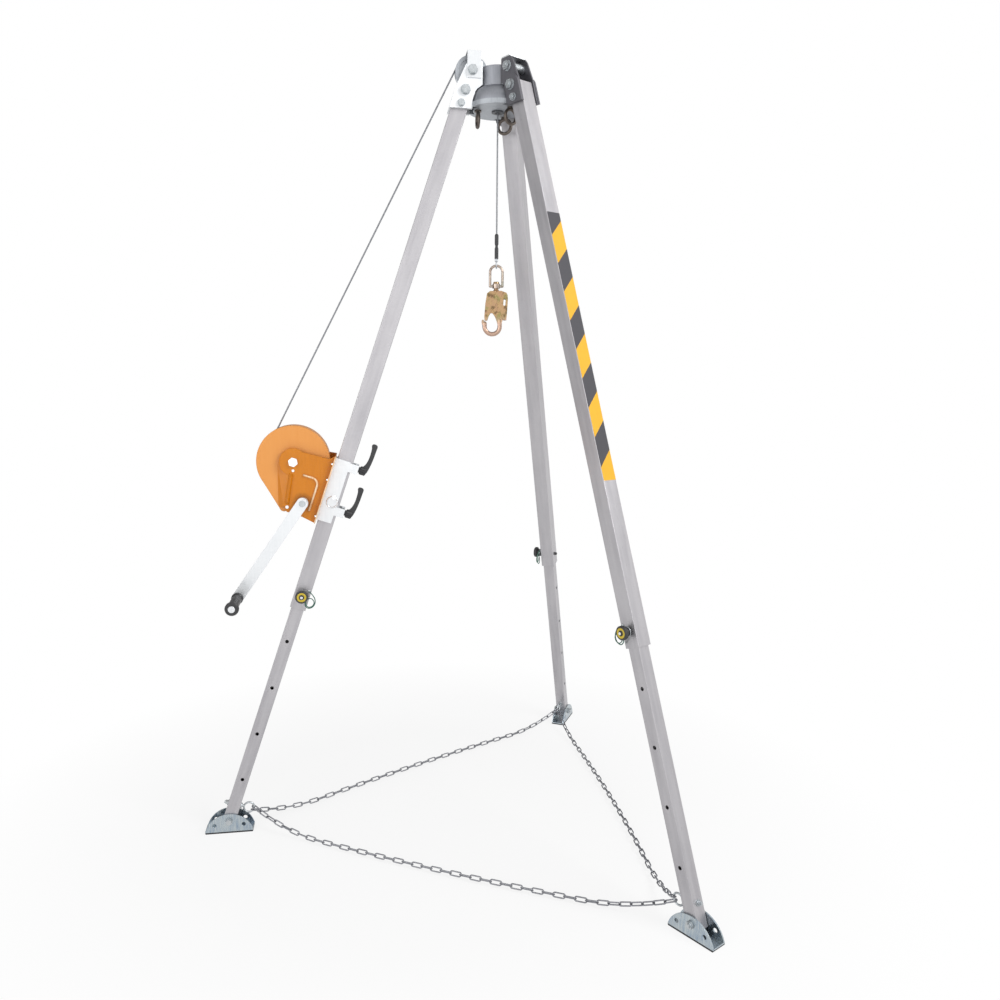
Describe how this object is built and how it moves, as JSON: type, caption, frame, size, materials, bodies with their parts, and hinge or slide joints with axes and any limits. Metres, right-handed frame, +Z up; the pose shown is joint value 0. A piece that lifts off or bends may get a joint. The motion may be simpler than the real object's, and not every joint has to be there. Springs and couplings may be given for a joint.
{
  "type": "rescue tripod",
  "caption": "Aluminium rescue tripod: folding telescopic legs on a hinged head, a leg-mounted hand winch, wire rope over a head pulley with a swivel snap hook, and a chain round the feet.",
  "frame": {"origin": "on the floor, in the middle of the box round the footprint", "axes": "+Z up; the winch leg points to -X, the other two legs to +X and either side, 120 degrees apart round the head's axis"},
  "size_m": [1.435, 1.657, 2.4465],
  "materials": {
    "tube": "extruded, anodised",
    "cast": "cast and turned, satin",
    "base": "cast, dull",
    "zinc": "zinc plated",
    "dark_steel": "oiled forging",
    "bush": "turned nylon",
    "black": "moulded",
    "rubber": "moulded rubber",
    "chrome": "polished",
    "lanyard": "plastic coated wire",
    "orange_frame": "powder coat",
    "orange_cover": "powder coat",
    "rope": "stranded wire",
    "sleeve": "shrink sleeve",
    "gold": "yellow chromate",
    "link": "yellow chromate, worn",
    "gear": "machined"
  },
  "bodies": {
    "head": {"head_bell": "cast", "head_base": "base", "head_side_plates": "zinc", "head_hinge_plates": "zinc", "head_bridges": "zinc", "hinge_bolts": "zinc", "stop_bolts": "zinc", "pulley_bolts": "zinc", "head_eyes": "dark_steel", "rope_bush": "bush", "rope_head": "rope", "rope_hang": "rope"},
    "pulley": {"pulley": "zinc"},
    "leg_a_upper": {"leg_a_outer": "tube", "leg_a_lanyard": "lanyard", "winch_bracket": "zinc", "winch_clamps": "zinc", "winch_frame": "orange_frame", "winch_cover": "orange_cover", "winch_bolts": "zinc", "rope_run": "rope"},
    "leg_a_lower": {"leg_a_inner": "tube", "leg_a_bolts": "zinc", "leg_a_chain": "zinc"},
    "leg_a_foot": {"leg_a_foot": "zinc", "leg_a_sole": "rubber"},
    "leg_a_pin": {"leg_a_pin": "black"},
    "leg_a_button": {"leg_a_button": "chrome"},
    "leg_b_upper": {"leg_b_outer": "tube", "leg_b_lanyard": "lanyard"},
    "leg_b_lower": {"leg_b_inner": "tube", "leg_b_bolts": "zinc", "leg_b_chain": "zinc"},
    "leg_b_foot": {"leg_b_foot": "zinc", "leg_b_sole": "rubber"},
    "leg_b_pin": {"leg_b_pin": "black"},
    "leg_b_button": {"leg_b_button": "chrome"},
    "leg_c_upper": {"leg_c_outer": "tube", "leg_c_lanyard": "lanyard"},
    "leg_c_lower": {"leg_c_inner": "tube", "leg_c_bolts": "zinc", "leg_c_chain": "zinc"},
    "leg_c_foot": {"leg_c_foot": "zinc", "leg_c_sole": "rubber"},
    "leg_c_pin": {"leg_c_pin": "black"},
    "leg_c_button": {"leg_c_button": "chrome"},
    "drum": {"winch_drum": "gear", "winch_gear": "gear"},
    "crank": {"winch_pinion": "gear", "winch_crank": "zinc"},
    "grip": {"winch_grip": "black"},
    "lever_top": {"winch_lever_top": "black"},
    "lever_low": {"winch_lever_low": "black"},
    "lock_pin": {"winch_lock_pin": "chrome"},
    "hook_block": {"rope_end": "sleeve", "hook_link": "link"},
    "hook": {"hook_body": "gold"},
    "hook_gate": {"hook_gate": "gold"},
    "hook_lock": {"hook_lock": "gold"}
  },
  "joints": [
    {"name": "pulley_turn", "type": "hinge", "parent": "head", "child": "pulley", "pos_m": [0.14175, 0, 2.39054], "axis": [0, -1, 0], "range_deg": [-1816, 364]},
    {"name": "leg_a_fold", "type": "hinge", "parent": "head", "child": "leg_a_upper", "pos_m": [0.11975, 0, 2.33154], "axis": [0, -1, 0], "range_deg": [0, 18.4], "deforming": ["leg_a_chain", "rope_run"]},
    {"name": "leg_a_slide", "type": "slide", "parent": "leg_a_upper", "child": "leg_a_lower", "axis": [0.3156, 0, 0.9489], "range_m": [-0.32, 0.64], "deforming": ["leg_a_chain"]},
    {"name": "leg_a_foot_tilt", "type": "hinge", "parent": "leg_a_lower", "child": "leg_a_foot", "pos_m": [-0.64255, 0, 0.04], "axis": [0, -1, 0], "range_deg": [-30, 30]},
    {"name": "leg_a_pin_pull", "type": "slide", "parent": "leg_a_upper", "child": "leg_a_pin", "axis": [0, -1, 0], "range_m": [0, 0.075], "deforming": ["leg_a_lanyard"]},
    {"name": "leg_a_button", "type": "slide", "parent": "leg_a_pin", "child": "leg_a_button", "axis": [0, 1, 0], "range_m": [0, 0.003], "stiffness_N_per_m": 200, "springref_m": -0.002},
    {"name": "leg_b_fold", "type": "hinge", "parent": "head", "child": "leg_b_upper", "pos_m": [0.27725, -0.09093, 2.33154], "axis": [0.866, 0.5, 0], "range_deg": [0, 18.4], "deforming": ["leg_b_chain"]},
    {"name": "leg_b_slide", "type": "slide", "parent": "leg_b_upper", "child": "leg_b_lower", "axis": [-0.1578, 0.2734, 0.9489], "range_m": [-0.32, 0.64], "deforming": ["leg_b_chain"]},
    {"name": "leg_b_foot_tilt", "type": "hinge", "parent": "leg_b_lower", "child": "leg_b_foot", "pos_m": [0.65839, -0.7511, 0.04], "axis": [0.866, 0.5, 0], "range_deg": [-30, 30]},
    {"name": "leg_b_pin_pull", "type": "slide", "parent": "leg_b_upper", "child": "leg_b_pin", "axis": [-0.866, -0.5, 0], "range_m": [0, 0.075], "deforming": ["leg_b_lanyard"]},
    {"name": "leg_b_button", "type": "slide", "parent": "leg_b_pin", "child": "leg_b_button", "axis": [0.866, 0.5, 0], "range_m": [0, 0.003], "stiffness_N_per_m": 200, "springref_m": -0.002},
    {"name": "leg_c_fold", "type": "hinge", "parent": "head", "child": "leg_c_upper", "pos_m": [0.27725, 0.09093, 2.33154], "axis": [-0.866, 0.5, 0], "range_deg": [0, 18.4], "deforming": ["leg_c_chain"]},
    {"name": "leg_c_slide", "type": "slide", "parent": "leg_c_upper", "child": "leg_c_lower", "axis": [-0.1578, -0.2734, 0.9489], "range_m": [-0.32, 0.64], "deforming": ["leg_c_chain"]},
    {"name": "leg_c_foot_tilt", "type": "hinge", "parent": "leg_c_lower", "child": "leg_c_foot", "pos_m": [0.65839, 0.7511, 0.04], "axis": [-0.866, 0.5, 0], "range_deg": [-30, 30]},
    {"name": "leg_c_pin_pull", "type": "slide", "parent": "leg_c_upper", "child": "leg_c_pin", "axis": [-0.866, 0.5, 0], "range_m": [0, 0.075], "deforming": ["leg_c_lanyard"]},
    {"name": "leg_c_button", "type": "slide", "parent": "leg_c_pin", "child": "leg_c_button", "axis": [0.866, -0.5, 0], "range_m": [0, 0.003], "stiffness_N_per_m": 200, "springref_m": -0.002},
    {"name": "drum_turn", "type": "hinge", "parent": "leg_a_upper", "child": "drum", "pos_m": [-0.41083, 0, 1.21176], "axis": [0, -1, 0], "range_deg": [-960, 192]},
    {"name": "crank_turn", "type": "hinge", "parent": "leg_a_upper", "child": "crank", "pos_m": [-0.3846, 0, 1.08623], "axis": [0, -1, 0], "range_deg": [-720, 3600]},
    {"name": "grip_spin", "type": "hinge", "parent": "crank", "child": "grip", "pos_m": [-0.58562, -0.14, 0.79483], "axis": [0, -1, 0], "continuous": true},
    {"name": "lever_top_turn", "type": "hinge", "parent": "leg_a_upper", "child": "lever_top", "pos_m": [-0.20115, 0, 1.17679], "axis": [-0.9489, 0, 0.3156], "range_deg": [0, 120]},
    {"name": "lever_low_turn", "type": "hinge", "parent": "leg_a_upper", "child": "lever_low", "pos_m": [-0.24692, 0, 1.0392], "axis": [-0.9489, 0, 0.3156], "range_deg": [0, 120]},
    {"name": "lock_pin_pull", "type": "slide", "parent": "leg_a_upper", "child": "lock_pin", "axis": [0, -1, 0], "range_m": [0, 0.02]},
    {"name": "hook_lift", "type": "slide", "parent": "head", "child": "hook_block", "axis": [0, 0, 1], "range_m": [-1.48, 0.3], "deforming": ["rope_hang"]},
    {"name": "hook_swivel", "type": "hinge", "parent": "hook_block", "child": "hook", "pos_m": [0.22475, 0, 1.74604], "axis": [0, 0, 1], "continuous": true},
    {"name": "hook_gate_open", "type": "hinge", "parent": "hook", "child": "hook_gate", "pos_m": [0.20306, 0.00371, 1.73004], "axis": [-0.1685, -0.9857, 0], "range_deg": [0, 18], "stiffness_Nm_per_rad": 0.4, "springref_deg": -17.19},
    {"name": "hook_lock_press", "type": "hinge", "parent": "hook", "child": "hook_lock", "pos_m": [0.25136, -0.00455, 1.73204], "axis": [0.1685, 0.9857, 0], "range_deg": [0, 5], "stiffness_Nm_per_rad": 0.6, "springref_deg": -11.46}
  ],
  "couplings": [
    {"joint": "crank_turn", "follows": "drum_turn", "ratio": -3.75},
    {"joint": "pulley_turn", "follows": "drum_turn", "ratio": 1.8903},
    {"joint": "hook_lift", "follows": "drum_turn", "m_per_rad": 0.0879}
  ]
}
